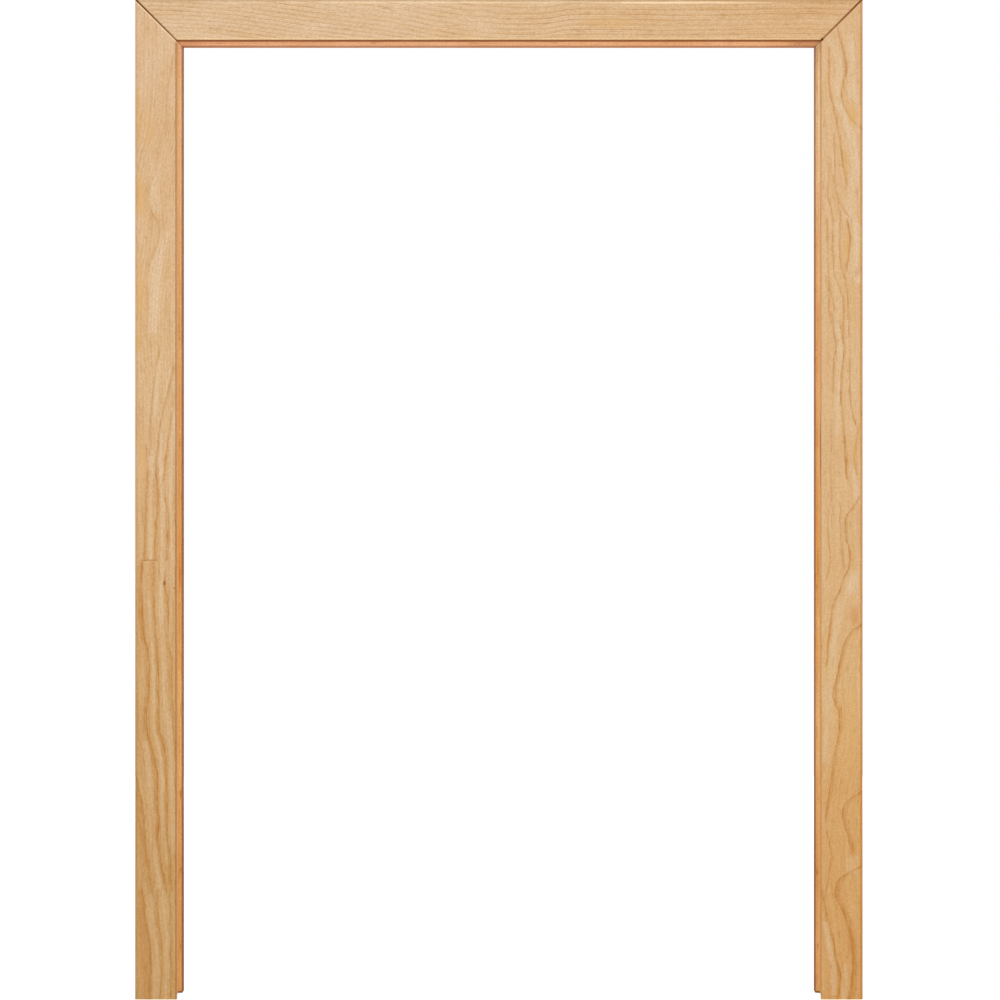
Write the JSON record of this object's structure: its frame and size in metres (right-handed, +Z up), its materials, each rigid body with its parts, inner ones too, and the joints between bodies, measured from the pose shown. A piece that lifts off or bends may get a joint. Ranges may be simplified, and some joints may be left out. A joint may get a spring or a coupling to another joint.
{
  "type": "door frame",
  "caption": "Wide pine door frame without leaves: housed jambs, planted door stops and flat casings with mitred corners on both faces of the wall.",
  "frame": {"origin": "on the floor, midway between the legs and between the wall's two faces", "axes": "+X to the right across the opening, +Y through the wall away from the pictured side, +Z up along the legs"},
  "size_m": [1.559, 0.152, 2.144],
  "materials": {
    "casing_pine": "satin",
    "jamb_pine": "satin",
    "stop_pine": "satin",
    "biscuit_beech": "matte",
    "nail_steel": "satin",
    "screw_steel": "satin",
    "wood_putty": "matte"
  },
  "bodies": {
    "root": {"casing_front_left": "casing_pine", "casing_back_left": "casing_pine", "casing_front_right": "casing_pine", "casing_back_right": "casing_pine", "casing_front_head": "casing_pine", "casing_back_head": "casing_pine", "jamb_left": "jamb_pine", "jamb_right": "jamb_pine", "jamb_head": "jamb_pine", "stop_left": "stop_pine", "stop_right": "stop_pine", "stop_head": "stop_pine", "biscuit_front_left": "biscuit_beech", "biscuit_back_left": "biscuit_beech", "biscuit_front_right": "biscuit_beech", "biscuit_back_right": "biscuit_beech", "brads_left": "nail_steel", "nails_front_left": "nail_steel", "nails_back_left": "nail_steel", "brads_right": "nail_steel", "nails_front_right": "nail_steel", "nails_back_right": "nail_steel", "brads_head": "nail_steel", "nails_front_head": "nail_steel", "nails_back_head": "nail_steel", "screws_left": "screw_steel", "screws_right": "screw_steel", "putty_front": "wood_putty", "putty_back": "wood_putty", "putty_stops": "wood_putty"}
  },
  "joints": []
}
